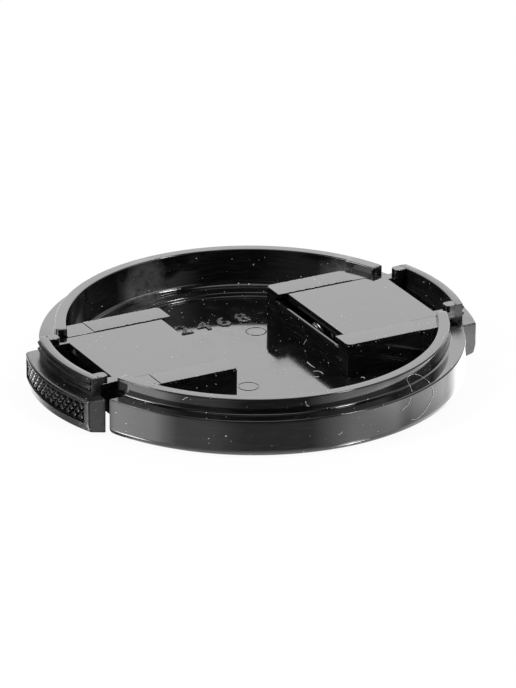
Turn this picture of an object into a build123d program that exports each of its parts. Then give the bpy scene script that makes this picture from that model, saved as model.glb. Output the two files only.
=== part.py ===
from build123d import *
import os
from math import asin, cos, pi, radians, sin, sqrt, tan, tau

# Side-pinch lens cap lying on its front face, all sizes in millimetres.
# X is the way the two sprung sliders travel, Z points out of the open side.

# Lens thread that the cap snaps into, and how it sits in it
thread_diameter = 58.0
rim_clearance = 0.7
rest_shift = 2.5
travel = 3.1

# Disc, flange and rim of the body
floor_thickness = 1.75
flange_height = 5.55
flange_overhang = 2.34
front_edge_round = 0.9
front_edge_bands = 3
rim_height = 2.32
rim_wall = 1.62
rim_edge_bevel = 0.2
rim_gap_angle = 19.7
rim_end_angle = 31.0
rim_end_growth = 0.3
ring_width = 3.2
ring_height = 0.55

# Rails that carry the sliders
channel_half_width = 8.6
rail_width = 3.77
rail_start = 8.85
rail_top = 7.02
rail_step = 0.15
lip_thickness = 0.67
lip_length = 12.15
end_wall = 1.0
outer_wall = 1.2

# Sliders
slide_clearance = 0.15
plate_drop = 0.2
plate_thickness = 1.2
plate_setback = 0.45
tongue_reach = 0.85
tongue_thickness = 0.53
stop_gap = 0.1
window_width = 3.86
arm_width = 1.75
hook_length = 2.6
hook_round = 0.6
arc_wall = 1.29
tooth_count = 2
tooth_pitch = 0.95
tooth_height = 0.35
neck_height = 0.55

# Grip pads
pad_bottom = 0.1
pad_top = 5.2
pad_depth = 4.44
pad_half_width = 10.2
pad_face_radius = 28.0
pad_corner_round = 0.6
pad_clearance = 0.2
pad_side_gap = 0.9
pad_band_height = 1.65
pad_band_slope = 0.3
pad_under_width = 2.2
pad_under_rise = 0.4
pad_edge_bevel = 0.3
panel_depth = 0.4
panel_height = 3.0
panel_half_width = 9.2
knurl_columns = 14
knurl_rows = 2
knurl_rise = 0.35
knurl_groove = 0.14
knurl_root = 0.03
knurl_overlap = 0.2

# Coil springs and their seats
spring_diameter = 3.4
spring_wire = 0.45
spring_turn_count = 7
spring_step_count = 10
spring_flat_count = 6
spring_seat_gap = 0.03
seat_rib = 1.6
seat_half_width = 4.0
seat_floor_gap = 0.35
pin_length = 1.75
pin_clearance = 0.2

# Radii and heights that follow from the sizes above
thread_radius = thread_diameter / 2
rim_radius = thread_radius - rim_clearance
rim_inner = rim_radius - rim_wall
rim_top = flange_height + rim_height
flange_radius = rim_radius + flange_overhang
ring_top = floor_thickness + ring_height
ring_inner = rim_inner - ring_width
plate_top = rail_top - plate_drop
plate_bottom = plate_top - plate_thickness
sill_top = plate_bottom - slide_clearance
tongue_top = plate_bottom + tongue_thickness
slot_top = rail_top - lip_thickness
slide_half_width = channel_half_width - slide_clearance
tongue_half_width = slide_half_width + tongue_reach

# Places along the slide axis, at rest
pad_outer = flange_radius + rest_shift
pad_inner = pad_outer - pad_depth
arc_inner = thread_radius - tooth_height - arc_wall
arc_end = rest_shift + sqrt(arc_inner**2 - slide_half_width**2)
notch_wall = min(arc_end, pad_inner) - travel - pad_clearance
lip_end = rail_start + lip_length
wall_face = rail_start + end_wall
plate_start = wall_face + plate_setback
plate_end = rest_shift + arc_inner - window_width
hook_tip = rest_shift + arc_inner - hook_length
tongue_end = lip_end - stop_gap
rib_outer = notch_wall - outer_wall - seat_rib
rib_face = rib_outer - seat_rib
spring_height = (floor_thickness + plate_bottom) / 2

# Room by which a cutting or joining block runs past what it meets
margin = 1.0


def block(x, y, z):
    """A box between pairs of limits."""
    size = [limits[1] - limits[0] for limits in (x, y, z)]
    return Pos(x[0], y[0], z[0]) * Box(*size, align=(Align.MIN, Align.MIN, Align.MIN))


def both_sides(x, y, z):
    """A box and its mirror image on the other side of the slide axis."""
    return block(x, y, z) + block(x, (-y[1], -y[0]), z)


def turned(points, axis_x=0.0):
    """A full turn of an outline of (radius, height) points about a vertical axis."""
    outline = make_face(Plane.XZ * Polyline(*points, close=True))
    return Pos(axis_x, 0, 0) * revolve(outline, Axis.Z)


def ring(inner, outer, bottom, top, axis_x=0.0):
    """A plain ring about a vertical axis."""
    return turned([(inner, bottom), (outer, bottom), (outer, top), (inner, top)], axis_x)


def seat_pin(face, direction):
    """A pin that centres a spring, pointing along X from its seat."""
    radius = spring_diameter / 2 - spring_wire - pin_clearance
    seat = Plane(origin=(face, 0, spring_height), z_dir=(direction, 0, 0))
    return seat * Cylinder(radius, pin_length, align=(Align.CENTER, Align.CENTER, Align.MIN))


def turned_disc():
    """Front disc, flange, rim and inner ring in one turning, the front edge rounded in narrow bands."""
    points = [(0, 0)]
    for band in range(front_edge_bands + 1):
        angle = pi / 2 * band / front_edge_bands
        points.append((flange_radius - front_edge_round * (1 - sin(angle)), front_edge_round * (1 - cos(angle))))
    points += [
        (flange_radius, flange_height),
        (rim_radius, flange_height),
        (rim_radius, rim_top - rim_edge_bevel),
        (rim_radius - rim_edge_bevel, rim_top),
        (rim_inner + rim_edge_bevel, rim_top),
        (rim_inner, rim_top - rim_edge_bevel),
        (rim_inner, ring_top),
        (ring_inner, ring_top),
        (ring_inner, floor_thickness),
        (0, floor_thickness),
    ]
    return turned(points)


def wedge(half_angle, bottom, top):
    """A radial wedge about the slide axis."""
    reach = flange_radius + margin
    spread = reach * tan(radians(half_angle))
    outline = make_face(Polyline((0, 0), (reach, -spread), (reach, spread), close=True))
    return extrude(Pos(0, 0, bottom) * outline, top - bottom)


def rim_gap():
    """Radial opening of the rim, above the sill that the slider passes over."""
    return wedge(rim_gap_angle, sill_top, rim_top + margin)


def rim_end():
    """The rim's wall is a little thicker inwards at one of its two ends at the gap."""
    thick = ring(rim_inner - rim_end_growth, rim_inner + rim_wall / 2, 0, rim_top)
    return thick & wedge(rim_end_angle, 0, rim_top) & block((0, rim_radius), (0, rim_radius), (0, rim_top))


def slider_station():
    """What one slider runs in: two rails, the inner wall with its spring pin, and the outer wall."""
    rail_outer = channel_half_width + rail_width
    inside_rim = Cylinder(rim_radius - rim_wall / 2, rail_top, align=(Align.CENTER, Align.CENTER, Align.MIN))
    rails = both_sides((rail_start, notch_wall), (channel_half_width, rail_outer), (0, rail_top))
    rails &= inside_rim
    rails -= block((lip_end, rim_radius), (-rail_outer, rail_outer), (rail_top - rail_step, rail_top + margin))
    slot_half_width = tongue_half_width + slide_clearance
    rails -= both_sides((0, lip_end), (0, slot_half_width), (sill_top, slot_top))
    inner = block((rail_start, wall_face), (-channel_half_width, channel_half_width), (0, sill_top))
    outer_span = channel_half_width + rail_width / 2
    outer = block((notch_wall - outer_wall, notch_wall), (-outer_span, outer_span), (0, sill_top))
    return rails + inner + outer + seat_pin(wall_face, 1)


def cap_body():
    body = turned_disc()
    notch_half_width = pad_half_width + pad_side_gap
    notch = block(
        (notch_wall, flange_radius + margin),
        (-notch_half_width, notch_half_width),
        (-margin, flange_height),
    )
    for turn in (0, 180):
        place = Rot(0, 0, turn)
        body += place * rim_end()
        body -= place * (notch + rim_gap())
        body += place * slider_station()
    return body


def arc_with_teeth():
    """Curved wall whose two ridges catch the lens thread."""
    root = thread_radius - tooth_height
    points = [(arc_inner, pad_top), (root, pad_top)]
    height = pad_top + neck_height
    for _ in range(tooth_count):
        points += [(root, height), (thread_radius, height + tooth_pitch / 2)]
        height += tooth_pitch
    points += [(root, height), (root, rim_top), (arc_inner, rim_top)]
    wall = turned(points, rest_shift)
    span = (-slide_half_width, slide_half_width)
    return wall & block((rest_shift, pad_outer), span, (0, rim_top))


def knurl(axis_x, bottom):
    """Rows of low diamond-based pyramids, every other row shifted by half a pitch, for the grip panel."""
    floor_radius = pad_face_radius - panel_depth
    pitch_angle = 2 * asin(panel_half_width / pad_face_radius) / knurl_columns
    row_height = panel_height / knurl_rows
    spread = 1 + knurl_root / knurl_rise
    half_width = (floor_radius * pitch_angle - knurl_groove) / 2 * spread
    half_height = (row_height - knurl_groove) / 2 * spread
    base = make_face(Polyline((half_width, 0), (0, half_height), (-half_width, 0), (0, -half_height), close=True))
    stud = loft([base, Vertex(0, 0, knurl_root + knurl_rise)], ruled=True)
    studs = []
    for row in range(2 * knurl_rows + 1):
        shift = row % 2
        for column in range(knurl_columns + 1 - shift):
            angle = (column - (knurl_columns - shift) / 2) * pitch_angle
            out = (cos(angle), sin(angle), 0)
            reach = floor_radius - knurl_root
            origin = (axis_x + reach * out[0], reach * out[1], bottom + row * row_height / 2)
            studs.append(Plane(origin=origin, x_dir=(-out[1], out[0], 0), z_dir=out) * stud)
    kept = block(
        (pad_inner, pad_outer),
        (-pad_half_width, pad_half_width),
        (bottom - knurl_overlap, bottom + panel_height + knurl_overlap),
    )
    return [one & kept for one in studs]


def grip_pad():
    """Finger pad with rounded corners, a sloping underside, a bevelled top edge and a sunk knurled panel."""
    axis_x = pad_outer - pad_face_radius
    face_end = axis_x + sqrt(pad_face_radius**2 - pad_half_width**2)
    far_corner = (face_end, pad_half_width)
    near_corner = (face_end, -pad_half_width)
    outline = ThreePointArc(near_corner, (pad_outer, 0), far_corner)
    outline += Polyline(far_corner, (pad_inner, pad_half_width), (pad_inner, -pad_half_width), near_corner)
    pad = extrude(Pos(0, 0, pad_bottom) * make_face(outline), pad_top - pad_bottom)
    pad = fillet(pad.edges().filter_by(Axis.Z).group_by(Axis.X)[-1], pad_corner_round)
    band_top = pad_bottom + pad_band_height
    pad -= turned(
        [
            (pad_face_radius - pad_under_width, pad_bottom),
            (pad_face_radius - pad_band_slope, pad_bottom + pad_under_rise),
            (pad_face_radius, band_top),
            (pad_face_radius + margin, band_top),
            (pad_face_radius + margin, pad_bottom),
        ],
        axis_x,
    )
    pad -= turned(
        [
            (pad_face_radius - pad_edge_bevel, pad_top),
            (pad_face_radius, pad_top - pad_edge_bevel),
            (pad_face_radius + margin, pad_top - pad_edge_bevel),
            (pad_face_radius + margin, pad_top),
        ],
        axis_x,
    )
    sunk = ring(pad_face_radius - panel_depth, pad_face_radius + margin, band_top, band_top + panel_height, axis_x)
    sunk &= block((pad_inner, pad_outer + margin), (-panel_half_width, panel_half_width), (0, rim_top))
    return pad - sunk + knurl(axis_x, band_top)


def slider():
    """Plate with side tongues, window, toothed arc, hooks, spring seat and grip pad, one moulding."""
    window_half_width = slide_half_width - arm_width
    plate = block((plate_start, plate_end), (-slide_half_width, slide_half_width), (plate_bottom, plate_top))
    plate += block((plate_start, tongue_end), (-tongue_half_width, tongue_half_width), (plate_bottom, tongue_top))
    arms = both_sides((plate_end, arc_end + arc_wall / 2), (window_half_width, slide_half_width),
                      (plate_bottom, plate_top))
    hooks = both_sides((hook_tip, arc_end + arc_wall / 2), (window_half_width, slide_half_width),
                       (plate_top, rim_top))
    hooks = fillet(hooks.edges().filter_by(Axis.Z).group_by(Axis.X)[0], hook_round)
    rib = block((rib_face, rib_outer), (-seat_half_width, seat_half_width),
                (floor_thickness + seat_floor_gap, plate_bottom))
    return plate + arms + hooks + rib + seat_pin(rib_face, -1) + arc_with_teeth() + grip_pad()


def coil_spring():
    """Compression spring between the inner wall and the slider's rib, its helix in short straight steps."""
    start = wall_face + spring_seat_gap + spring_wire / 2
    end = rib_face - spring_seat_gap - spring_wire / 2
    radius = (spring_diameter - spring_wire) / 2
    count = spring_turn_count * spring_step_count
    points = []
    for step in range(count + 1):
        angle = tau * step / spring_step_count
        points.append((start + (end - start) * step / count, radius * cos(angle), radius * sin(angle)))
    path = Polyline(*points)
    section = Plane(origin=path @ 0, z_dir=path % 0) * RegularPolygon(spring_wire / 2, spring_flat_count)
    return Pos(0, 0, spring_height) * sweep(section, path=path, transition=Transition.RIGHT)


half_turn = Rot(0, 0, 180)
right_slider = slider()
right_spring = coil_spring()
pieces = {
    "cap_body": cap_body(),
    "right_slider": right_slider,
    "left_slider": half_turn * right_slider,
    "right_spring": right_spring,
    "left_spring": half_turn * right_spring,
}

os.makedirs("parts", exist_ok=True)
for name, piece in pieces.items():
    export_step(piece, f"parts/{name}.step")
    print(name, round(piece.volume, 2), piece.bounding_box().size)
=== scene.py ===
import random
from math import asin, atan2, cos, degrees, pi, radians, sin, tan, tau

import bmesh
import bpy
from mathutils import Matrix, Vector


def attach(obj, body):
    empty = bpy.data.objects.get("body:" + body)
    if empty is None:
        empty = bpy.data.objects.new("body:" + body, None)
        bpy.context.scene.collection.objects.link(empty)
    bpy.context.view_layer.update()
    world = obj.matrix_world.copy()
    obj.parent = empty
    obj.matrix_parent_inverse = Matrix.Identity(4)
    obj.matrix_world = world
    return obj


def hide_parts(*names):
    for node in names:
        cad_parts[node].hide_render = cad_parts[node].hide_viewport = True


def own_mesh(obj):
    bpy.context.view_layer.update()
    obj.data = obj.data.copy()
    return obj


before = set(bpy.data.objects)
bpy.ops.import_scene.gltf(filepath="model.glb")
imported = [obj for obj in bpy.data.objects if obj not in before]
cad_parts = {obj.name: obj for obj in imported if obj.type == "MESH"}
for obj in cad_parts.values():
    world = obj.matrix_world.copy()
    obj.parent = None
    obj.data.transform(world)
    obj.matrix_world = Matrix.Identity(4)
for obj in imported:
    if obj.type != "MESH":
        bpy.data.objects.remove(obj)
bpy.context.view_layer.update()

scene = bpy.context.scene
scene.view_settings.view_transform = "Standard"
dice = random.Random(58)
mm = 0.001
slack = 0.01   # for picking edges by place, and for small overlaps
halfTurn = Matrix.Rotation(pi, 4, "Z")
print("frame loaded, nodes:", ", ".join(sorted(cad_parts)))


# modelling helpers, all in millimetres

def outline(points):
    # flat face through a few corners
    bm = bmesh.new()
    bm.faces.new([bm.verts.new(p) for p in points])
    return bm


def roundCorners(bm, corners, radius, segments=4):
    chosen = [v for v in bm.verts if any((v.co - Vector(c)).length < 1e-4 for c in corners)]
    bmesh.ops.bevel(bm, geom=chosen, offset=radius, offset_type="OFFSET", segments=segments, profile=0.5,
                    affect="VERTICES", clamp_overlap=True, material=-1)


def soften(bm, width, segments=3, limit=35, where=None, clamp=True):
    # round the sharp edges, all of them or those that where() picks
    sharp = [e for e in bm.edges if e.is_manifold and e.calc_face_angle(0) > radians(limit)]
    sharp = [e for e in sharp if where is None or where((e.verts[0].co + e.verts[1].co) / 2)]
    bmesh.ops.bevel(bm, geom=sharp, offset=width, offset_type="OFFSET", segments=segments, profile=0.5,
                    affect="EDGES", clamp_overlap=clamp, material=-1)


def block(low, high, edge=0.08, segments=3):
    bm = bmesh.new()
    low, high = Vector(low), Vector(high)
    place = Matrix.Translation((low + high) / 2) @ Matrix.Diagonal((high - low).to_4d())
    bmesh.ops.create_cube(bm, size=1, matrix=place)
    if edge:
        soften(bm, edge, segments)
    return bm


def raiseFace(bm, move):
    # thicken a flat outline into a solid
    bmesh.ops.recalc_face_normals(bm, faces=bm.faces)
    grown = bmesh.ops.extrude_face_region(bm, geom=bm.faces[:])["geom"]
    bmesh.ops.translate(bm, verts=[g for g in grown if isinstance(g, bmesh.types.BMVert)], vec=move)
    bmesh.ops.recalc_face_normals(bm, faces=bm.faces)


def spinFace(bm, start, end, steps, axisX=0):
    # sweep an outline in the XZ plane round a vertical axis, from one angle to another
    bmesh.ops.rotate(bm, verts=bm.verts, cent=(axisX, 0, 0), matrix=Matrix.Rotation(radians(start), 3, "Z"))
    bmesh.ops.spin(bm, geom=bm.verts[:] + bm.edges[:] + bm.faces[:], cent=(axisX, 0, 0), axis=(0, 0, 1),
                   angle=radians(end - start), steps=steps, use_merge=False)
    bmesh.ops.recalc_face_normals(bm, faces=bm.faces)


def spinRing(bm, steps):
    # sweep an outline all the way round
    bmesh.ops.delete(bm, geom=bm.faces[:], context="FACES_ONLY")
    bmesh.ops.spin(bm, geom=bm.verts[:] + bm.edges[:], cent=(0, 0, 0), axis=(0, 0, 1), angle=tau, steps=steps,
                   use_merge=True)
    bmesh.ops.recalc_face_normals(bm, faces=bm.faces)


def cutAway(bm, point, normal):
    # drop what lies on the normal's side of a plane and close the cut
    bmesh.ops.bisect_plane(bm, geom=bm.verts[:] + bm.edges[:] + bm.faces[:], dist=1e-5, plane_co=point,
                           plane_no=normal, clear_outer=True)
    bmesh.ops.holes_fill(bm, edges=[e for e in bm.edges if e.is_boundary], sides=0)
    bmesh.ops.recalc_face_normals(bm, faces=bm.faces)


def addShell(whole, shell, finish=0, turn=None):
    # put a finished shell into the piece that it belongs to
    if turn is not None:
        bmesh.ops.transform(shell, matrix=turn, verts=shell.verts)
    bmesh.ops.recalc_face_normals(shell, faces=shell.faces)
    if finish is not None:
        for face in shell.faces:
            face.material_index = finish
    carrier = bpy.data.meshes.new("carrier")
    shell.to_mesh(carrier)
    whole.from_mesh(carrier)
    bpy.data.meshes.remove(carrier)
    shell.free()


def finishPiece(name, bm, materials, body, node):
    bmesh.ops.scale(bm, verts=bm.verts, vec=(mm, mm, mm))
    mesh = bpy.data.meshes.new(name)
    bm.to_mesh(mesh)
    bm.free()
    mesh.shade_smooth()
    mesh.set_sharp_from_angle(angle=radians(34))
    for material in materials:
        mesh.materials.append(material)
    piece = bpy.data.objects.new(name, mesh)
    scene.collection.objects.link(piece)
    tidyNormals = piece.modifiers.new("flat faces stay flat", "WEIGHTED_NORMAL")
    tidyNormals.keep_sharp = True
    tidyNormals.weight = 80
    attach(piece, body)
    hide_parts(node)
    print("made", name, "with", len(mesh.polygons), "faces")
    return piece


# shader helper: a socket that takes part in plain expressions

class Signal:
    def __init__(self, tree, socket=None):
        self.tree = tree
        self.socket = socket

    def node(self, kind, settings=None, inputs=None, out=0):
        made = self.tree.nodes.new(kind)
        for key, value in (settings or {}).items():
            setattr(made, key, value)
        for key, value in (inputs or {}).items():
            if isinstance(value, Signal):
                self.tree.links.new(value.socket, made.inputs[key])
            else:
                made.inputs[key].default_value = value
        return Signal(self.tree, made.outputs[out]) if len(made.outputs) else None

    def maths(self, operation, *values):
        return self.node("ShaderNodeMath", {"operation": operation}, dict(enumerate(values)))

    def __add__(self, other):
        return self.maths("ADD", self, other)

    __radd__ = __add__

    def __mul__(self, other):
        return self.maths("MULTIPLY", self, other)

    __rmul__ = __mul__

    def __sub__(self, other):
        return self.maths("SUBTRACT", self, other)

    def __rsub__(self, other):
        return self.maths("SUBTRACT", other, self)

    def __lt__(self, other):
        return self.maths("LESS_THAN", self, other)

    def __gt__(self, other):
        return self.maths("GREATER_THAN", self, other)

    def other(self, out):
        # another output of the same node
        return Signal(self.tree, self.socket.node.outputs[out])

    def step(self, low, high):
        # 0 below low, 1 above high, smooth between
        return self.node("ShaderNodeMapRange", {"interpolation_type": "SMOOTHSTEP"},
                         {"Value": self, "From Min": low, "From Max": high})

    def ramp(self, low, high):
        # the same, straight between
        return self.node("ShaderNodeMapRange", inputs={"Value": self, "From Min": low, "From Max": high})

    def noise(self, scale, detail=2, out=0, **more):
        # self is the place
        inputs = {"Vector": self, "Scale": scale, "Detail": detail, **more}
        return self.node("ShaderNodeTexNoise", inputs=inputs, out=out)

    def blendColour(self, dark, pale):
        # self picks between two colours
        return self.node("ShaderNodeMix", {"data_type": "RGBA"}, {0: self, 6: (*dark, 1), 7: (*pale, 1)},
                         out=2)


def startMaterial(name):
    material = bpy.data.materials.new(name)
    material.use_nodes = True
    material.node_tree.nodes.clear()
    return material, Signal(material.node_tree)


# what the moulded plastics share: smears, dust, scratches, film and wear, with lengths in metres
plasticWear = dict(
    smearScale=150, smear=(0.42, 0.68), skinScale=5200, waveScale=260, waveHeight=0.8, driftScale=130,
    bumpStrength=0.12, bumpDistance=0.00004,
    speckCells=1400, speckBend=0.00022, bendScale=4200, speckSize=0.05, speckSpread=0.1, speckEdge=0.02,
    speckPlaces=(0.25, 0.5), speckTone=(0.45, 0.45, 0.445), speckRough=0.5, speckHeight=0.6,
    scratchScale=420, scratchTurn=(0.2, 0.1, 0.7), scratchStretch=(1, 14, 4), scratchCrest=(0.70, 0.74),
    scratchPlaces=(0.5, 0.6), scratchRough=0.12, scratchHeight=-0.25,
    streakScale=320, streakStretch=(1, 1, 9), streak=(0.45, 0.75), streakShare=0.2,
    mottleScale=800, patchFray=0.004, patchMottle=(0.2, 0.6),
    rubbedFrom=(0.0225, 0.027), rubbedLow=(0.0052, 0.0055), rubbedHigh=(0.0056, 0.0058), rubbedRough=0.18,
)


def mouldedPlastic(name, tone, gloss, haze, grain, dust, ior=1.52, palePatches=()):
    # black moulded plastic, mirror gloss where it is clean
    w = plasticWear
    material, new = startMaterial(name)
    place = new.node("ShaderNodeTexCoord", out="Object")
    smear = place.noise(w["smearScale"], 5, Roughness=0.62).step(*w["smear"])
    skin = place.noise(w["skinScale"])
    wave = place.noise(w["waveScale"], 1)
    drift = place.noise(w["driftScale"])
    # specks of dust: one in every few cells, mostly small, none of them round
    warp = place.noise(w["bendScale"], out="Color")
    warp = new.node("ShaderNodeVectorMath", {"operation": "SCALE"}, {0: warp, "Scale": w["speckBend"]})
    bent = new.node("ShaderNodeVectorMath", {"operation": "ADD"}, {0: place, 1: warp})
    speck = new.node("ShaderNodeTexVoronoi", inputs={"Vector": bent, "Scale": w["speckCells"]},
                     out="Distance")
    fate = new.node("ShaderNodeSeparateColor", inputs={"Color": speck.other("Color")})
    draw = fate.other(1)
    size = w["speckSize"] + draw * draw * w["speckSpread"]
    inside = 1 - (speck - size).step(-w["speckEdge"], w["speckEdge"])
    specks = inside * (fate > 1 - dust) * drift.step(*w["speckPlaces"])
    # hairline scratches: stretched noise, only its sharpest crests
    turned = new.node("ShaderNodeMapping", inputs={
        "Vector": place, "Rotation": w["scratchTurn"], "Scale": w["scratchStretch"]})
    crests = turned.noise(w["scratchScale"], 3).step(*w["scratchCrest"])
    scratch = crests * drift.step(*w["scratchPlaces"])
    # a thin film in streaks round the wall, and pale patches painted lighter at the given places
    drawn = new.node("ShaderNodeMapping", inputs={"Vector": place, "Scale": w["streakStretch"]})
    mottle = place.noise(w["mottleScale"], 6, Roughness=0.7)
    film = drawn.noise(w["streakScale"], 5).step(*w["streak"]) * haze * w["streakShare"]
    for middle, full, end, amount in palePatches:
        away = new.node("ShaderNodeVectorMath", {"operation": "DISTANCE"}, {0: place, 1: Vector(middle) * mm},
                        out="Value")
        away = away + (mottle - 0.5) * w["patchFray"]
        film = film + (1 - away.step(full * mm, end * mm)) * mottle.step(*w["patchMottle"]) * amount
    cover = specks.maths("MAXIMUM", specks, film)
    # rubbed where the grip pads slide past
    spot = new.node("ShaderNodeSeparateXYZ", inputs={0: place})
    rise = spot.other(2)
    rubbed = spot.maths("ABSOLUTE", spot).step(*w["rubbedFrom"]) * rise.step(*w["rubbedLow"]) * (
        1 - rise.step(*w["rubbedHigh"]))
    rough = (gloss + smear * haze + scratch * w["scratchRough"] + specks * w["speckRough"]
             + rubbed * w["rubbedRough"])
    height = skin * grain + wave * w["waveHeight"] + scratch * w["scratchHeight"] + specks * w["speckHeight"]
    bump = new.node("ShaderNodeBump", inputs={
        "Strength": w["bumpStrength"], "Distance": w["bumpDistance"], "Height": height})
    shader = new.node("ShaderNodeBsdfPrincipled", inputs={
        "Base Color": cover.blendColour(tone, w["speckTone"]), "Roughness": rough, "IOR": ior,
        "Normal": bump})
    new.node("ShaderNodeOutputMaterial", inputs={"Surface": shader})
    return material


def speckledMark(name):
    # spark-eroded face of the raised digits
    material, new = startMaterial(name)
    place = new.node("ShaderNodeTexCoord", out="Object")
    pits = new.node("ShaderNodeTexVoronoi", inputs={"Vector": place, "Scale": 2600}, out="Distance")
    bump = new.node("ShaderNodeBump", inputs={"Strength": 0.9, "Distance": 0.00012, "Height": pits})
    shader = new.node("ShaderNodeBsdfPrincipled", inputs={
        "Base Color": pits.step(0.1, 0.6).blendColour((0.006, 0.006, 0.006), (0.014, 0.014, 0.015)),
        "Roughness": 0.08 + pits * 0.16, "IOR": 1.52, "Normal": bump})
    new.node("ShaderNodeOutputMaterial", inputs={"Surface": shader})
    return material


def drawnWire(name):
    # bright spring wire with fine die lines and a little dark film
    material, new = startMaterial(name)
    place = new.node("ShaderNodeTexCoord", out="Object")
    film = place.noise(700, 3).step(0.42, 0.7)
    dies = place.noise(6000)
    bump = new.node("ShaderNodeBump", inputs={"Strength": 0.1, "Distance": 0.00002, "Height": dies})
    shader = new.node("ShaderNodeBsdfPrincipled", inputs={
        "Base Color": film.blendColour((0.38, 0.38, 0.39), (0.17, 0.165, 0.16)),
        "Roughness": 0.28 + film * 0.2, "Metallic": 1.0, "Normal": bump})
    new.node("ShaderNodeOutputMaterial", inputs={"Surface": shader})
    return material


def paleFibre(name):
    material, new = startMaterial(name)
    place = new.node("ShaderNodeTexCoord", out="Object")
    tone = place.noise(900)
    shader = new.node("ShaderNodeBsdfPrincipled", inputs={
        "Base Color": tone.blendColour((0.6, 0.59, 0.56), (0.88, 0.87, 0.84)), "Roughness": 0.6})
    new.node("ShaderNodeOutputMaterial", inputs={"Surface": shader})
    return material


# middle, where each pale patch is full and where it ends, and how much it lightens the colour
wallPalePatches = ((-4.0, 26.3, 4.7), 2.4, 4.4, 0.19), ((22.3, 14.4, 7.2), 1.0, 2.2, 0.13)
bodyPlastic = mouldedPlastic("black body plastic", tone=(0.0042, 0.0042, 0.0044), gloss=0.055, haze=0.09,
                             grain=0.3, dust=0.45, palePatches=wallPalePatches)
sliderPlastic = mouldedPlastic("black slider plastic", tone=(0.0044, 0.0044, 0.0046), gloss=0.055, haze=0.05,
                               grain=0.16, dust=0.15)
gripPlastic = mouldedPlastic("grip plastic", tone=(0.005, 0.005, 0.0052), gloss=0.24, haze=0.10,
                             grain=0.5, dust=0.4)
# painted shade: darker and nearly without reflection, for the outer walls seen through the slider windows
paintedShadePlastic = mouldedPlastic("recess plastic darkened as painted shade", tone=(0.0015, 0.0015, 0.0015), gloss=0.5,
                               haze=0.1, grain=0.3, dust=0.0, ior=1.12)
markPlastic = speckledMark("speckled number")
springWire = drawnWire("spring wire")
lint = paleFibre("pale fibre")
print("materials ready")


# body: floor, skirt, rim, inner ring, rails and walls

capBody = dict(
    bottom=0.002, floorTop=1.75, floorRadius=27.6, steps=220, rimSteps=108, roundSteps=256,
    skirtRadius=30.62, skirtInside=27.2, skirtTop=5.55, skirtEdge=0.22, skirtSpan=(15, 165), frontRound=1.15,
    rootFillet=0.42, rootRise=0.4, rootOverlap=0.03, notchWall=25.22, notchHalf=11.1, notchRound=0.15,
    ledgeHalf=10.36, ledgeRadius=30.3, ledgeInside=25.3, ledgeLow=0.4, ledgeDrop=0.004, ledgeRound=0.12,
    ledgeSpan=(15, 30), rimOuter=28.3, rimInner=26.68, rimBack=27.6, rimTop=7.86, rimEdge=0.2, rimSeam=0.05,
    draft=2.6, gapAngle=19.7, thickInner=26.38, thickEnd=31.0, thickRound=0.32, thinRound=0.6,
    wallStart=24.5, wallLow=1.0, ringInner=23.48, ringTop=2.3, ringFillet=0.85, ringFoot=0.26, ringEdge=0.28,
    ringRise=1.2, ringBack=27.2, ringUnder=23.2, ringLow=1.4, ringEnd=24.6,
)


def skirt(s):
    top, rim, low = s["skirtTop"], s["rimOuter"], s["bottom"]
    inside, high = s["skirtInside"], top + s["rootRise"]
    corner = (s["skirtRadius"], 0, low), (s["skirtRadius"], 0, top), (rim, 0, top)
    bm = outline([(inside, 0, low), *corner, (rim - s["rootOverlap"], 0, high), (inside, 0, high)])
    roundCorners(bm, corner[:1], s["frontRound"], 7)
    roundCorners(bm, corner[1:2], s["skirtEdge"], 4)
    roundCorners(bm, corner[2:], s["rootFillet"], 6)
    spinFace(bm, *s["skirtSpan"], s["steps"])
    cutAway(bm, (0, s["notchHalf"], 0), (0, -1, 0))
    soften(bm, s["notchRound"], 3, 60, lambda c: abs(c.y - s["notchHalf"]) < slack and c.z < top - 0.5)
    return bm


def ledgeEnd(s):
    # at one end of each half the ledge runs a little further than the skirt
    top, rim, low, inside = s["skirtTop"] - s["ledgeDrop"], s["rimOuter"], s["ledgeLow"], s["ledgeInside"]
    radius, high = s["ledgeRadius"], top + s["rootRise"]
    bm = outline([(inside, 0, low), (radius, 0, low), (radius, 0, top), (rim, 0, top),
                  (rim - s["rootOverlap"], 0, high), (inside, 0, high)])
    roundCorners(bm, [(rim, 0, top)], s["rootFillet"], 6)
    spinFace(bm, *s["ledgeSpan"], 24)
    cutAway(bm, (0, s["ledgeHalf"], 0), (0, -1, 0))
    cutAway(bm, (0, s["notchHalf"] + slack, 0), (0, 1, 0))
    soften(bm, s["ledgeRound"], 3, 60,
           lambda c: abs(c.y - s["ledgeHalf"]) < slack and top - 0.2 < c.z < top + 0.2)
    bmesh.ops.scale(bm, verts=bm.verts, vec=(-1, 1, 1))
    return bm


def wallRadius(s, inner, z):
    # the inner wall opens a little towards its top
    return inner - tan(radians(s["draft"])) * (s["rimTop"] - z)


def rimPart(s, inner, outer, low, high, start, end):
    bm = outline([(wallRadius(s, inner, low), 0, low), (outer, 0, low), (outer, 0, high),
                  (wallRadius(s, inner, high), 0, high)])
    spinFace(bm, start, end, max(4, round(s["rimSteps"] * (end - start) / 150)))
    return bm


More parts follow.
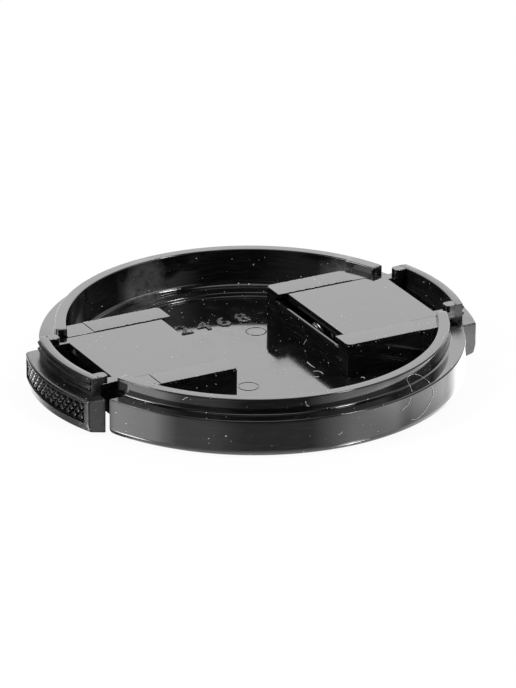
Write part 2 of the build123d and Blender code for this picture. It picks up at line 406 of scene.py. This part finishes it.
def rim(s):
    # two lengths end to end, the first one thicker, and the wall below them
    whole = bmesh.new()
    joint, top = s["skirtTop"] - s["rimSeam"], s["rimTop"]
    gap, change, wall = s["gapAngle"], s["thickEnd"], s["wallStart"]

    def toward(c):
        return degrees(atan2(c.y, c.x))

    for inner, start, end, free, endRound in ((s["thickInner"], gap, change, gap, s["thickRound"]),
                                              (s["rimInner"], change, 180 - gap, 180 - gap, s["thinRound"])):
        crown = rimPart(s, inner, s["rimOuter"], joint, top, start, end)
        soften(crown, endRound, 6, 60, lambda c: abs(toward(c) - free) < 0.05 and joint < c.z < top)
        soften(crown, s["rimEdge"], 4, 60, lambda c: c.z > top - slack and abs(toward(c) - change) > 0.05)
        addShell(whole, crown)
        below = rimPart(s, inner, s["rimBack"], s["wallLow"], joint, max(start, wall), min(end, 180 - wall))
        addShell(whole, below)
    return whole


def innerRing(s):
    floorTop, top, inner, low = s["floorTop"], s["ringTop"], s["ringInner"], s["ringLow"]
    high = top + s["ringRise"]
    foot, edge, root = (inner, 0, floorTop), (inner, 0, top), (wallRadius(s, s["rimInner"], top), 0, top)
    wall = wallRadius(s, s["rimInner"], high) + s["rootOverlap"]
    bm = outline([(s["ringUnder"], 0, low), (s["ringUnder"], 0, floorTop - slack), foot, edge, root,
                  (wall, 0, high), (s["ringBack"], 0, high), (s["ringBack"], 0, low)])
    roundCorners(bm, [foot], s["ringFoot"], 6)
    roundCorners(bm, [edge], s["ringEdge"], 5)
    roundCorners(bm, [root], s["ringFillet"], 8)
    spinRing(bm, s["roundSteps"])
    for side in (1, -1):
        cutAway(bm, (side * s["ringEnd"], 0, 0), (side, 0, 0))
    return bm


def floorPlate(s):
    bm = bmesh.new()
    bmesh.ops.create_circle(bm, cap_ends=True, radius=s["floorRadius"], segments=s["roundSteps"])
    for side in (1, -1):
        bmesh.ops.bisect_plane(bm, geom=bm.verts[:] + bm.edges[:] + bm.faces[:], dist=1e-5,
                               plane_co=(side * s["notchWall"], 0, 0), plane_no=(side, 0, 0),
                               clear_outer=True)
    bmesh.ops.translate(bm, verts=bm.verts, vec=(0, 0, s["bottom"]))
    raiseFace(bm, (0, 0, s["floorTop"] - s["bottom"]))
    return bm


rail = dict(
    start=8.85, lipEnd=21.0, inside=8.6, outside=12.37, slot=9.45, sill=5.47, lipLow=6.35, top=6.95, low=0.3,
    footTop=6.7, footInset=0.12, footStart=0.04, footRound=0.1, outerTop=6.87, outerInside=8.5, outerRound=0.06,
    outerGap=0.02, outerWall=1.2, outerHalf=10.3, outerLow=0.2, wallRound=0.1, endWall=1.0, endHalf=8.75,
    endRound=0.45, endRoundHalf=8, cornerRound=0.75, ragged=0.08, deepest=-0.08, pieces=110, longEdge=8,
    bend=1.3, sag=0.02,
)


def raggedLip(r):
    # lip pressed out of the rail, so its edges are a little ragged
    corner = (r["start"], r["outside"], r["lipLow"])
    bm = outline([(r["start"], r["inside"], r["lipLow"]), (r["lipEnd"], r["inside"], r["lipLow"]),
                  (r["lipEnd"], r["outside"], r["lipLow"]), corner])
    roundCorners(bm, [corner], r["cornerRound"], 5)
    long = [e for e in bm.edges if abs((e.verts[0].co - e.verts[1].co).x) > r["longEdge"]]
    bmesh.ops.subdivide_edges(bm, edges=long, cuts=r["pieces"])
    for v in bm.verts:
        if r["start"] + 1 < v.co.x < r["lipEnd"] - 0.1:
            tear = dice.gauss(0, r["ragged"])
            v.co.y += max(r["deepest"], tear) if v.co.y < r["slot"] else min(0, tear)
    raiseFace(bm, (0, 0, r["top"] - r["lipLow"]))
    # its free edge sags on to the slider
    bmesh.ops.bisect_plane(bm, geom=bm.verts[:] + bm.edges[:] + bm.faces[:], dist=1e-5,
                           plane_co=(0, r["inside"] + r["bend"], 0), plane_no=(0, 1, 0))
    edge = [v for v in bm.verts if v.co.z > r["top"] - slack and v.co.y < r["slot"] - 0.3]
    bmesh.ops.translate(bm, verts=edge, vec=(0, 0, -r["sag"]))
    return bm


def slideRails(s, r):
    # one station: two rails, the inner wall with its pin, and the outer wall
    whole = bmesh.new()
    start, wallSide = r["start"] + r["footStart"], r["outside"] - r["footInset"]
    low, sill = r["low"], r["sill"]
    for side in (1, -1):
        mirror = Matrix.Scale(side, 4, (0, 1, 0))
        foot = outline([(start, y, z) for y, z in (
            (r["inside"], low), (wallSide, low), (wallSide, r["footTop"]), (r["slot"], r["footTop"]),
            (r["slot"], sill), (r["inside"], sill))])
        raiseFace(foot, (r["lipEnd"] - r["start"], 0, 0))
        soften(foot, r["footRound"])
        addShell(whole, foot, turn=mirror)
        outer = block((r["lipEnd"] + r["outerGap"], r["outerInside"], low),
                      (s["notchWall"], r["outside"], r["outerTop"]), r["outerRound"])
        addShell(whole, outer, turn=mirror)
        addShell(whole, raggedLip(r), turn=mirror)
    wallFace = r["start"] + r["endWall"]
    endWall = block((start, -r["endHalf"], low), (wallFace, r["endHalf"], sill), 0)
    soften(endWall, r["endRound"], 5, 60, lambda c: c.z > sill - slack and abs(c.y) < r["endRoundHalf"])
    addShell(whole, endWall)
    outerWall = block((s["notchWall"] - r["outerWall"], -r["outerHalf"], r["outerLow"]),
                      (s["notchWall"], r["outerHalf"], sill), r["wallRound"])
    # finish 3, the darkened recess plastic, paints shade on this wall
    addShell(whole, outerWall, 3)
    addShell(whole, springPin(wallFace - springSeat["pinRoot"], 1))
    return whole


springSeat = dict(height=3.685, pinRadius=1.05, pinLength=1.75, pinRoot=0.2, pinRound=0.2)


def springPin(face, way):
    p = springSeat
    bm = bmesh.new()
    length = p["pinLength"] + p["pinRoot"]
    middle = Matrix.Translation((face + way * length / 2, 0, p["height"]))
    lay = middle @ Matrix.Rotation(way * pi / 2, 4, "Y")
    bmesh.ops.create_cone(bm, cap_ends=True, segments=40, radius1=p["pinRadius"], radius2=p["pinRadius"],
                          depth=length, matrix=lay)
    soften(bm, p["pinRound"], 3, 60)
    return bm


floorMarks = dict(
    digits="2 4 6 8", size=4.15, place=(0.9, 12.55), raised=0.16, bold=0.05, bevel=0.04, sunk=0.04,
    merge=0.0005, dash=((8.3, 14.05), (9.3, 14.35)), dashRound=0.05, dashRoot=0.15,
    pinMarks=((5.26, 8.73), (-5.01, -8.34)), pinRadius=1.45, bead=0.1, beadSunk=0.045,
)


def raisedDigits(m, floorTop):
    # plain digits, made a mesh before they are put in place
    words = bpy.data.curves.new("digits", "FONT")
    words.body = m["digits"]
    words.size = m["size"]
    words.align_x = "CENTER"
    words.extrude = m["raised"] / 2
    words.offset = m["bold"]
    words.bevel_depth = m["bevel"]
    words.bevel_resolution = 1
    words.resolution_u = 4
    holder = bpy.data.objects.new("digits", words)
    mesh = bpy.data.meshes.new_from_object(holder)
    bm = bmesh.new()
    bm.from_mesh(mesh)
    bpy.data.meshes.remove(mesh)
    bpy.data.objects.remove(holder)
    bpy.data.curves.remove(words)
    bmesh.ops.remove_doubles(bm, verts=bm.verts, dist=m["merge"])
    bmesh.ops.translate(bm, verts=bm.verts, vec=(*m["place"], floorTop + m["raised"] / 2 - m["sunk"]))
    return bm


def pinMark(m, spot, floorTop):
    # low bead that an ejector pin leaves
    bm = bmesh.new()
    place = Matrix.Translation((m["pinRadius"], 0, 0)) @ Matrix.Rotation(pi / 2, 4, "X")
    bmesh.ops.create_circle(bm, radius=m["bead"], segments=10, matrix=place)
    bmesh.ops.spin(bm, geom=bm.verts[:] + bm.edges[:], cent=(0, 0, 0), axis=(0, 0, 1), angle=tau, steps=64,
                   use_merge=True)
    bmesh.ops.translate(bm, verts=bm.verts, vec=(*spot, floorTop - m["beadSunk"]))
    return bm


strayFibres = dict(
    thickness=0.05, shortThickness=0.06,
    curl=((7.96, -29.6, 3.66), (8.74, -29.39, 3.9), (9.5, -29.15, 4.4), (9.88, -29.03, 5.2),
          (10.63, -28.0, 5.6), (11.05, -26.7, 5.6), (10.8, -26.21, 6.37), (10.68, -26.26, 6.9),
          (11.2, -26.04, 7.1), (12.07, -25.65, 7.0), (12.97, -25.2, 6.55), (13.92, -24.7, 5.95),
          (14.31, -25.66, 5.6), (14.12, -27.2, 5.57), (14.62, -26.96, 4.36), (14.64, -26.95, 3.58),
          (13.96, -27.3, 2.93), (13.31, -27.63, 2.27), (12.45, -28.03, 1.83), (11.4, -28.47, 1.44),
          (10.78, -28.71, 1.43), (9.96, -29.0, 1.71)),
    short=(((9.95, 24.66, 5.2), (10.29, 24.52, 5.28), (10.56, 24.41, 5.05), (10.59, 24.4, 4.73),
            (10.43, 24.46, 4.49)),
           ((8.87, 0.88, 2.04), (8.87, 0.43, 2.56), (8.87, -0.02, 3.12)),
           ((6.58, -4.54, 1.78), (6.37, -5.85, 1.78), (6.53, -6.75, 1.78)),
           ((5.72, -7.94, 1.78), (6.34, -7.86, 1.78), (6.59, -8.59, 1.78), (6.57, -9.38, 1.78)),
           ((4.13, -9.54, 1.78), (4.67, -9.74, 1.78), (5.57, -9.88, 1.78)),
           ((10.74, -12.93, 1.78), (11.16, -12.74, 1.78), (11.08, -13.43, 1.78)),
           ((-6.25, -27.62, 7.2), (-6.17, -27.64, 6.74), (-5.88, -27.7, 6.4), (-5.67, -27.75, 6.45)),
           ((-2.54, -30.53, 2.56), (-2.23, -30.55, 2.63), (-1.93, -30.57, 2.84)),
           ((-21.05, -18.91, 7.07), (-20.8, -19.18, 7.24), (-20.55, -19.45, 7.54))),
    onPlate=((24.94, -5.39, 6.84), (25.47, -5.04, 6.84), (25.91, -4.85, 6.84)),
)


def fibre(points, thickness):
    # one loose hair, a smooth tube through its control points
    curve = bpy.data.curves.new("fibre", "CURVE")
    curve.dimensions = "3D"
    curve.bevel_depth = thickness / 2
    curve.bevel_resolution = 1
    curve.use_fill_caps = True
    spline = curve.splines.new("NURBS")
    spline.points.add(len(points) - 1)
    for point, place in zip(spline.points, points):
        point.co = (*place, 1)
    spline.order_u = 3
    spline.use_endpoint_u = True
    spline.resolution_u = 6
    holder = bpy.data.objects.new("fibre", curve)
    mesh = bpy.data.meshes.new_from_object(holder)
    bm = bmesh.new()
    bm.from_mesh(mesh)
    bpy.data.meshes.remove(mesh)
    bpy.data.objects.remove(holder)
    bpy.data.curves.remove(curve)
    return bm


body = bmesh.new()
addShell(body, floorPlate(capBody))
addShell(body, innerRing(capBody))
for turn in (Matrix.Identity(4), halfTurn):
    addShell(body, skirt(capBody), turn=turn)
    addShell(body, ledgeEnd(capBody), turn=turn)
    addShell(body, rim(capBody), turn=turn)
    addShell(body, slideRails(capBody, rail), None, turn)
addShell(body, raisedDigits(floorMarks, capBody["floorTop"]), 1)
dashLow, dashHigh = floorMarks["dash"]
dash = block((*dashLow, capBody["floorTop"] - floorMarks["dashRoot"]),
             (*dashHigh, capBody["floorTop"] + floorMarks["raised"]), floorMarks["dashRound"])
addShell(body, dash, 1)
for spot in floorMarks["pinMarks"]:
    addShell(body, pinMark(floorMarks, spot, capBody["floorTop"]))
addShell(body, fibre(strayFibres["curl"], strayFibres["thickness"]), 2)
for points in strayFibres["short"]:
    addShell(body, fibre(points, strayFibres["shortThickness"]), 2)
finishPiece("cap_body_shell", body, [bodyPlastic, markPlastic, lint, paintedShadePlastic], "body",
            "cap_body")


# sliders: plate, tongues, arms, hooks, toothed arc, spring seat and grip pad

slide = dict(
    start=10.3, windowEdge=26.0, half=8.45, armInside=6.7, armEnd=28.9, low=5.62, top=6.82, edgeRound=0.08,
    tongueEnd=20.9, tongueHalf=9.3, tongueTop=6.15, tongueInset=0.05, tongueLift=0.01, tongueRound=0.06,
    hookTip=27.26, hookEnd=29.0, hookRound=0.6, hookTop=7.86, hookRoot=0.1, hookInset=0.03, hookEdge=0.1,
    ribFace=20.82, ribOuter=22.42, ribHalf=4.0, ribLow=2.1, ribRoot=0.2,
    arcAxis=2.5, arcInner=27.36, arcRoot=28.65, arcTip=29.0, arcLow=5.15, arcEnd=0.5, arcSpan=18.6,
    arcOver=0.012, arcEdge=0.12, arcOutside=29.5,
    toothStart=5.75, toothPitch=0.95, toothReach=16.5, toothRoot=0.08, toothRound=0.1,
)
grip = dict(
    axis=5.14, face=27.99, deep=22.5, low=0.1, top=5.2, inner=28.7, half=10.2, underWidth=2.2, underRise=0.4,
    noseRound=0.2, bandTop=1.75, bandSlope=0.3, edgeRound=0.19, topRound=0.35, endSlope=4, spinSteps=18,
    endSteps=7.5, panelTop=4.75, panelHalf=9.2, panelDepth=0.6, panelInset=0.1, columns=13, rows=2, rise=0.45,
    groove=0.02, studTop=0.5, studRoot=0.03, studSunk=0.02, studRound=0.05,
)


def plateShell(p):
    armEnd, half, armInside = p["armEnd"], p["half"], p["armInside"]
    bm = outline([(x, y, p["low"]) for x, y in (
        (p["start"], -half), (armEnd, -half), (armEnd, -armInside), (p["windowEdge"], -armInside),
        (p["windowEdge"], armInside), (armEnd, armInside), (armEnd, half), (p["start"], half))])
    raiseFace(bm, (0, 0, p["top"] - p["low"]))
    soften(bm, p["edgeRound"])
    return bm


def hookShell(p, side):
    inside, outside, end = p["armInside"] * side, (p["half"] - p["hookInset"]) * side, p["hookEnd"]
    low = p["top"] - p["hookRoot"]
    tips = [(p["hookTip"], inside, low), (p["hookTip"], outside, low)]
    bm = outline([*tips, (end, outside, low), (end, inside, low)])
    roundCorners(bm, tips, p["hookRound"], 6)
    raiseFace(bm, (0, 0, p["hookTop"] - p["top"] + p["hookRoot"]))
    soften(bm, p["hookEdge"], 3, 60)
    return bm


def curvedWall(p):
    # smooth wall with round ends
    axis, low, high = p["arcAxis"], p["arcLow"], p["hookTop"]
    inner, outer = axis + p["arcInner"], axis + p["arcRoot"]
    bm = outline([(inner, 0, low), (outer, 0, low), (outer, 0, high), (inner, 0, high)])
    spinFace(bm, -p["arcSpan"], p["arcSpan"], 64, axis)
    for side in (1, -1):
        cutAway(bm, (0, side * (p["half"] + p["arcOver"]), 0), (0, side, 0))
    soften(bm, p["arcEnd"], 6, 60,
           lambda c: abs(c.y) > p["half"] - slack and c.x > p["arcOutside"] and low < c.z < high)
    soften(bm, p["arcEdge"], 3, 60, lambda c: c.z > high - slack)
    return bm


def threadTooth(p, foot):
    # one ridge, which stops short of the wall's ends
    axis = p["arcAxis"]
    root = axis + p["arcRoot"] - p["toothRoot"]
    tip = (axis + p["arcTip"], 0, foot + p["toothPitch"] / 2)
    bm = outline([(root, 0, foot), tip, (root, 0, foot + p["toothPitch"])])
    roundCorners(bm, [tip], p["toothRound"], 3)
    spinFace(bm, -p["toothReach"], p["toothReach"], 56, axis)
    return bm


def gripPad(g):
    axis, face, deep = g["axis"], g["axis"] + g["face"], g["axis"] + g["deep"]
    nose = (face - g["bandSlope"], 0, g["low"] + g["underRise"])
    bm = outline([(deep, 0, g["low"]), (face - g["underWidth"], 0, g["low"]), nose, (face, 0, g["bandTop"]),
                  (face, 0, g["panelTop"]), (face, 0, g["top"]), (deep, 0, g["top"])])
    roundCorners(bm, [nose], g["noseRound"], 4)
    roundCorners(bm, [(face, 0, g["top"])], g["topRound"], 5)
    # each end falls between two steps
    step = degrees(asin(g["half"] / g["face"])) / g["endSteps"]
    reach = step * g["spinSteps"] / 2
    spinFace(bm, -reach, reach, g["spinSteps"], axis)

    def band():
        centres = {f: f.calc_center_median() for f in bm.faces}
        return [f for f, c in centres.items() if g["bandTop"] < c.z < g["panelTop"]
                and (c.xy - Vector((axis, 0))).length > g["face"] - 0.1]

    # panel ends, then the panel is pressed in
    for side in (1, -1):
        around = {part for f in band() for part in (f, *f.edges, *f.verts)}
        bmesh.ops.bisect_plane(bm, geom=list(around), dist=1e-4, plane_co=(0, side * g["panelHalf"], 0),
                               plane_no=(0, side, 0))
    panel = [f for f in band() if abs(f.calc_center_median().y) < g["panelHalf"]]
    bmesh.ops.inset_region(bm, faces=panel, thickness=g["panelInset"], depth=-g["panelDepth"],
                           use_even_offset=True)
    cutAway(bm, (g["inner"], 0, 0), (-1, 0, 0))
    slope = radians(g["endSlope"])
    for side in (1, -1):
        cutAway(bm, (g["inner"], side * g["half"], 0), (sin(slope), side * cos(slope), 0))

    def onEnd(c):
        off = (c.x - g["inner"]) * sin(slope) + (abs(c.y) - g["half"]) * cos(slope)
        return c.x > g["inner"] + 0.05 and abs(off) < slack

    soften(bm, g["edgeRound"], 4, 50, onEnd, clamp=False)
    return bm


def knurl(g):
    # rows of small diamond studs, every other row shifted by half a pitch
    whole = bmesh.new()
    floorRadius = g["face"] - g["panelDepth"]
    pitch = 2 * asin(g["panelHalf"] / g["face"]) / g["columns"]
    rowHeight = (g["panelTop"] - g["bandTop"]) / g["rows"]
    across = (floorRadius * pitch - g["groove"]) / 2
    tall = (rowHeight - g["groove"]) / 2
    stud = bmesh.new()
    bmesh.ops.create_cone(stud, cap_ends=True, segments=4, radius1=1, radius2=g["studTop"],
                          depth=g["rise"] + g["studRoot"])
    bmesh.ops.scale(stud, verts=stud.verts, vec=(across, tall, 1))
    soften(stud, g["studRound"], 2, 20, lambda c: c.z > -g["rise"] / 2 + 0.02)
    upright = Matrix.Rotation(pi / 2, 4, "Z") @ Matrix.Rotation(pi / 2, 4, "X")
    for row in range(1, 2 * g["rows"]):
        shift = row % 2
        for column in range(g["columns"] + 1 - shift):
            angle = (column - (g["columns"] - shift) / 2) * pitch
            reach = floorRadius + g["rise"] / 2 - g["studSunk"]
            place = Matrix.Translation((g["axis"] + reach * cos(angle), reach * sin(angle),
                                        g["bandTop"] + row * rowHeight / 2))
            place = place @ Matrix.Rotation(angle, 4, "Z") @ upright
            addShell(whole, stud.copy(), turn=place)
    stud.free()
    return whole


def sliderPiece(turn):
    whole = bmesh.new()
    p = slide
    addShell(whole, plateShell(p), turn=turn)
    tongues = block((p["start"] + p["tongueInset"], -p["tongueHalf"], p["low"] + p["tongueLift"]),
                    (p["tongueEnd"], p["tongueHalf"], p["tongueTop"]), p["tongueRound"])
    addShell(whole, tongues, turn=turn)
    rib = block((p["ribFace"], -p["ribHalf"], p["ribLow"]),
                (p["ribOuter"], p["ribHalf"], p["low"] + p["ribRoot"]))
    addShell(whole, rib, turn=turn)
    addShell(whole, springPin(p["ribFace"] + springSeat["pinRoot"], -1), turn=turn)
    for side in (1, -1):
        addShell(whole, hookShell(p, side), turn=turn)
    addShell(whole, curvedWall(p), 1, turn)
    for tooth in range(2):
        addShell(whole, threadTooth(p, p["toothStart"] + tooth * p["toothPitch"]), 1, turn)
    addShell(whole, gripPad(grip), 1, turn)
    addShell(whole, knurl(grip), 0, turn)
    return whole


sides = {"right": Matrix.Identity(4), "left": halfTurn}
for side, turn in sides.items():
    slider = sliderPiece(turn)
    if side == "right":
        addShell(slider, fibre(strayFibres["onPlate"], strayFibres["shortThickness"]), 2)
    finishPiece(side + "_slider_shell", slider, [sliderPlastic, gripPlastic, lint], side + "_slide",
                side + "_slider")


# springs: closed turn, open turns, closed turn

coil = dict(start=9.88, end=20.79, radius=1.475, wire=0.45, openTurns=5, closedPitch=0.47, perTurn=40,
            travel=3.1)


def coilSpring(c, height):
    bm = bmesh.new()
    place = Matrix.Translation((c["start"] + c["wire"] / 2, 0, height + c["radius"]))
    place = place @ Matrix.Rotation(pi / 2, 4, "X")
    bmesh.ops.create_circle(bm, radius=c["wire"] / 2, segments=12, matrix=place)
    run = c["end"] - c["start"] - c["wire"] - 2 * c["closedPitch"]
    last = bm.verts[:] + bm.edges[:]
    closed, free = (1, c["closedPitch"]), (c["openTurns"], run / c["openTurns"])
    for turns, pitch in (closed, free, closed):
        last = bmesh.ops.spin(bm, geom=last, cent=(0, 0, height), axis=(1, 0, 0), angle=tau * turns,
                              steps=turns * c["perTurn"], dvec=(pitch / c["perTurn"], 0, 0))["geom_last"]
    bmesh.ops.holes_fill(bm, edges=[e for e in bm.edges if e.is_boundary], sides=0)
    return bm


for side, turn in sides.items():
    shell = bmesh.new()
    addShell(shell, coilSpring(coil, springSeat["height"]), turn=turn)
    spring = finishPiece(side + "_coil", shell, [springWire], "body", side + "_spring")
    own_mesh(spring)


# camera, floor and light

view = dict(place=(-395.470, -741.732, 365.362), turn=(66.7453, -0.3633, -27.9653), lens=333.526, sensor=36,
            clip=(0.05, 20))
camera = bpy.data.cameras.new("camera")
camera.lens = view["lens"]
camera.sensor_width = view["sensor"]
camera.clip_start, camera.clip_end = view["clip"]
cameraHolder = bpy.data.objects.new("camera", camera)
cameraHolder.location = Vector(view["place"]) * mm
cameraHolder.rotation_euler = [radians(a) for a in view["turn"]]
scene.collection.objects.link(cameraHolder)
scene.camera = cameraHolder

# the ring, pool and hem bands glow for glossy rays only: painted reflections in the cap's plastic
floorLook = dict(
    size=6.0, drop=0.00002, matt=0.55, gloss=0.84, glossTone=0.9, shadowTone=0.8, roughness=0.15,
    cameraWhite=0.94, bounce=0.6, glowRingWhite=0.28, glowRing=(0.0302, 0.0308, 0.0415, 0.0435),
    poolWhite=1.8, pool=(0.018, 0.034), poolToward=-20,
    hemWhite=0.9, hem=(0.0292, 0.0298, 0.0312, 0.0328), hemEnd=(0.0262, 0.0276),
)


def grey(level):
    return level, level, level, 1


def floorMaterial(look):
    # pale table, plain white to the camera apart from the shadow
    # glossy rays also see painted reflections in it: a glowing ring round the cap, a pool and a hem
    material, new = startMaterial("white table")
    place = new.node("ShaderNodeTexCoord", out="Object")
    far = new.node("ShaderNodeVectorMath", {"operation": "LENGTH"}, {0: place}, out="Value")

    def band(low, full, fade, end):
        return far.step(low, full) * (1 - far.step(fade, end))

    right = new.node("ShaderNodeSeparateXYZ", inputs={0: place})
    away = right.maths("ABSOLUTE", right)
    toward = radians(look["poolToward"])
    # painted reflections for glossy rays: a brighter pool to one side, the glowing ring, and a bright hem at
    # the skirt's foot
    pool = (right * cos(toward) + right.other(1) * sin(toward)).step(*look["pool"])
    hem = band(*look["hem"]) * (1 - away.step(*look["hemEnd"]))
    glow = band(*look["glowRing"]) * (look["glowRingWhite"] + pool * look["poolWhite"]) + hem * look["hemWhite"]
    ray = new.node("ShaderNodeLightPath", out="Is Camera Ray")
    plain = ray + ray.other("Is Transmission Ray")
    matt = new.node("ShaderNodeBsdfDiffuse", inputs={"Color": grey(look["matt"])})
    gloss = new.node("ShaderNodeBsdfGlossy", inputs={
        "Color": grey(look["glossTone"]), "Roughness": look["roughness"]})
    table = new.node("ShaderNodeMixShader", inputs={0: look["gloss"], 1: matt, 2: gloss})
    white = new.node("ShaderNodeEmission", inputs={
        "Color": grey(1),
        "Strength": plain + ray.other("Is Glossy Ray") * glow + ray.other("Is Diffuse Ray") * look["bounce"]})
    shadow = new.node("ShaderNodeBsdfDiffuse", inputs={"Color": grey(look["shadowTone"])})
    seen = new.node("ShaderNodeMixShader", inputs={0: look["cameraWhite"], 1: shadow, 2: white})
    lit = new.node("ShaderNodeAddShader", inputs={0: table, 1: white})
    both = new.node("ShaderNodeMixShader", inputs={0: plain, 1: lit, 2: seen})
    new.node("ShaderNodeOutputMaterial", inputs={"Surface": both})
    return material


bm = bmesh.new()
bmesh.ops.create_grid(bm, x_segments=1, y_segments=1, size=floorLook["size"] / 2)
bmesh.ops.translate(bm, verts=bm.verts, vec=(0, 0, -floorLook["drop"]))
table = bpy.data.meshes.new("table")
bm.to_mesh(table)
bm.free()
table.materials.append(floorMaterial(floorLook))
tableHolder = bpy.data.objects.new("table", table)
scene.collection.objects.link(tableHolder)

# soft panels round the table: reach and height are the degrees where each starts, is full, fades and ends
studio = dict(
    back=dict(toward=62, reach=(-50, -36, 28, 44), height=(2, 8, 44, 62), level=2.75),
    left=dict(toward=171, reach=(-14, -9, 17, 30), height=(12, 18, 29, 34), level=4.5),
    leftLow=dict(toward=171, reach=(-14, -9, 17, 30), height=(12, 15, 19, 21.5), level=3.5),
    leftCore=dict(toward=167, reach=(-14, -10, 6, 10), height=(33, 36, 44, 48), level=28.0),
    spill=dict(toward=212, reach=(-18, -12, 8, 26), height=(12, 18, 29, 34), level=0.8),
    right=dict(toward=-48, reach=(-38, -14, 14, 24), height=(10, 16, 29, 34), level=2.8),
    core=dict(toward=-57, reach=(-7, -4, 4, 7), height=(32, 35, 44, 47), level=14),
    side=dict(toward=-6, reach=(-22, -14, 14, 20), height=(19, 23, 40, 50), level=1.2),
    lamp=dict(toward=-43, reach=(-3.5, -2, 2, 3.5), height=(47, 50, 58, 61), level=80),
    above=dict(toward=-118, reach=(-181, -180, 180, 181), height=(70, 76, 91, 92), level=2.2),
)


def panelLight(x, y, z, toward, reach, height, level):
    a = radians(toward)
    aside, ahead = y * cos(a) - x * sin(a), x * cos(a) + y * sin(a)
    turn = aside.maths("ARCTAN2", aside, ahead) * degrees(1)
    rise = z.maths("ARCSINE", z) * degrees(1)
    across = turn.ramp(*reach[:2]) * (1 - turn.ramp(*reach[2:]))
    return across * rise.step(*height[:2]) * (1 - rise.step(*height[2:])) * level


world = bpy.data.worlds.new("studio")
world.use_nodes = True
world.node_tree.nodes.clear()
sky = Signal(world.node_tree)
way = sky.node("ShaderNodeTexCoord", out="Generated")
x = sky.node("ShaderNodeSeparateXYZ", inputs={0: way})
glow = 0.0
for panel in studio.values():
    glow = panelLight(x, x.other(1), x.other(2), **panel) + glow
ray = sky.node("ShaderNodeLightPath", out="Is Camera Ray")
glossyWhite = 0.02
plain = ray + ray.other("Is Transmission Ray") + ray.other("Is Glossy Ray") * glossyWhite
panels = sky.node("ShaderNodeBackground", inputs={"Color": grey(1), "Strength": glow})
white = sky.node("ShaderNodeBackground", inputs={"Color": grey(1), "Strength": 1.0})
both = sky.node("ShaderNodeMixShader", inputs={0: plain, 1: panels, 2: white})
sky.node("ShaderNodeOutputWorld", inputs={"Surface": both})
scene.world = world
print("camera, floor and light ready")
